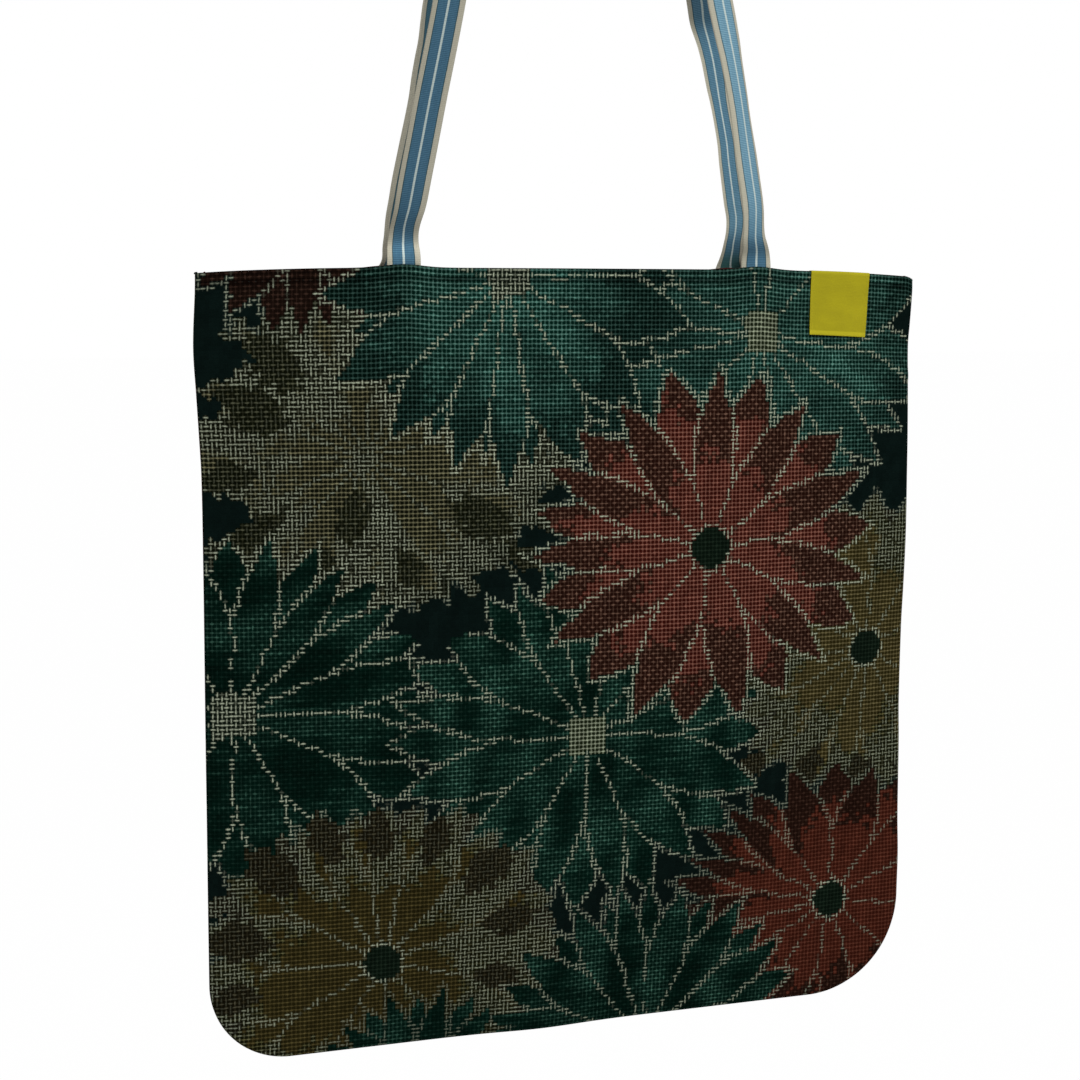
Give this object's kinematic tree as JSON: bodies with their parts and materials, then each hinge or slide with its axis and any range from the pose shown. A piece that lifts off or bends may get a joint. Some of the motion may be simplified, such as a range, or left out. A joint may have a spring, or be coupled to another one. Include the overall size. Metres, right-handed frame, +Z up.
{
  "type": "reversible tote bag",
  "caption": "Flat lined tote bag with rounded lower corners, webbing carrying handles and a folded label at the mouth.",
  "frame": {"origin": "midway between the two handles, level with the underside of their tops, where a hand or a peg holds the bag", "axes": "+Z up, -Y out of the front with the label, +X to the right seen from the front"},
  "size_m": [0.35, 0.036, 0.6262],
  "materials": {
    "patterned_cloth": "matt plain-weave cotton with a woven flower pattern",
    "plain_lining": "matt plain-weave cotton",
    "interfacing": "matt non-woven stiffener",
    "striped_webbing": "ribbed woven webbing with lengthwise stripes",
    "yellow_ribbon": "smooth woven ribbon, bare",
    "dark_thread": "spun sewing thread",
    "red_thread": "spun sewing thread"
  },
  "bodies": {
    "bag": {"outer_front_panel": "patterned_cloth", "outer_back_panel": "patterned_cloth", "front_interfacing": "interfacing", "back_interfacing": "interfacing", "lining_front_panel": "plain_lining", "lining_back_panel": "plain_lining", "front_handle_left_end": "striped_webbing", "front_handle_right_end": "striped_webbing", "rear_handle_left_end": "striped_webbing", "rear_handle_right_end": "striped_webbing", "front_mouth_stitch_outside": "dark_thread", "back_mouth_stitch_outside": "dark_thread", "front_mouth_stitch_inside": "red_thread", "back_mouth_stitch_inside": "red_thread", "outer_seam_thread": "dark_thread", "lining_seam_thread": "red_thread", "label_fold": "yellow_ribbon"},
    "front_handle": {"front_handle_webbing": "striped_webbing"},
    "rear_handle": {"rear_handle_webbing": "striped_webbing"},
    "label_end": {"label_flap": "yellow_ribbon"}
  },
  "joints": [
    {"name": "front_handle_fold", "type": "hinge", "parent": "bag", "child": "front_handle", "pos_m": [0, -0.016, -0.265], "axis": [1, 0, 0], "range_deg": [0, 175]},
    {"name": "rear_handle_fold", "type": "hinge", "parent": "bag", "child": "rear_handle", "pos_m": [0, 0.016, -0.265], "axis": [-1, 0, 0], "range_deg": [0, 175]},
    {"name": "label_lift", "type": "hinge", "parent": "bag", "child": "label_end", "pos_m": [0.13218, -0.01093, -0.26635], "axis": [-0.9882, -0.153, 0], "range_deg": [0, 160]}
  ]
}
